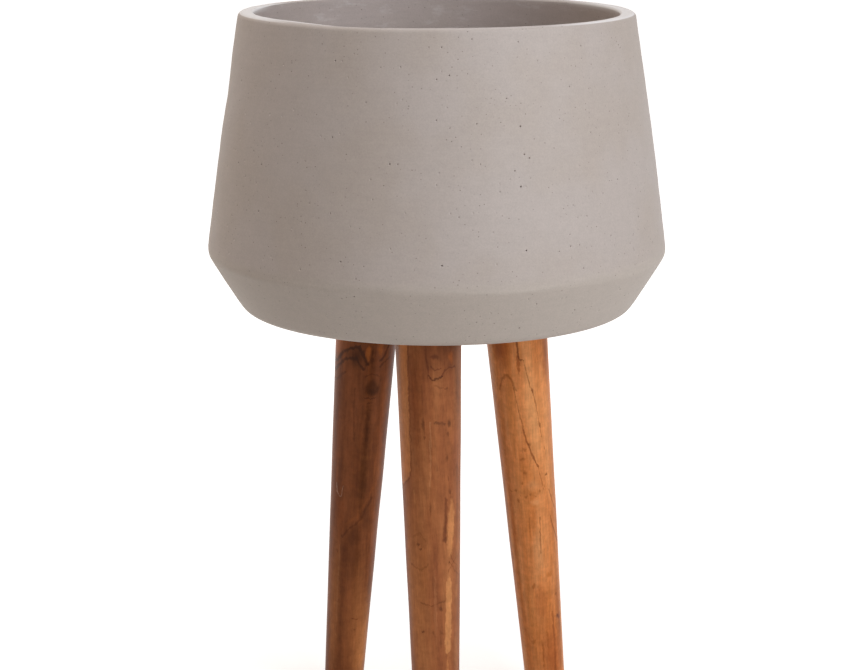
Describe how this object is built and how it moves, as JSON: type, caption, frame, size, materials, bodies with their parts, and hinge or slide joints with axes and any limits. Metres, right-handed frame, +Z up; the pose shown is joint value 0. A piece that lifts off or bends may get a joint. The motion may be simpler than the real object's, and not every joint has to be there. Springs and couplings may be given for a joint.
{
  "type": "planter on a three-legged stand",
  "caption": "Tapered fibre-cement plant pot with a belted lower wall, raised on turned and splayed wooden legs, with a drain hole and a lift-out plug.",
  "frame": {"origin": "on the floor, under the pot's axis: the centre of the bounding box's bottom face", "axes": "+Z up along the pot's axis; -Y towards the front leg, +X towards the back right leg"},
  "size_m": [0.3799, 0.38, 0.62],
  "materials": {
    "fibre_cement": "cast and sanded, matt, unsealed",
    "teak": "turned and oiled, satin",
    "rubber_plug": "moulded, matt",
    "rubber_seal": "punched from sheet, matt",
    "zinc_steel": "rolled thread, bright zinc plate",
    "washer_steel": "stamped, stainless",
    "nylon_glide": "moulded nylon on a steel nail, matt"
  },
  "bodies": {
    "stand": {"pot": "fibre_cement", "leg_front": "teak", "leg_back_right": "teak", "leg_back_left": "teak", "leg_bolt_front": "zinc_steel", "leg_bolt_back_right": "zinc_steel", "leg_bolt_back_left": "zinc_steel", "seal_front": "rubber_seal", "seal_back_right": "rubber_seal", "seal_back_left": "rubber_seal", "washer_front": "washer_steel", "washer_back_right": "washer_steel", "washer_back_left": "washer_steel", "nut_front": "zinc_steel", "nut_back_right": "zinc_steel", "nut_back_left": "zinc_steel", "foot_glide_front": "nylon_glide", "foot_glide_back_right": "nylon_glide", "foot_glide_back_left": "nylon_glide"},
    "plug": {"drain_plug": "rubber_plug"}
  },
  "joints": [
    {"name": "plug_lift", "type": "slide", "parent": "stand", "child": "plug", "axis": [0, 0, 1], "range_m": [0, 0.28]}
  ]
}
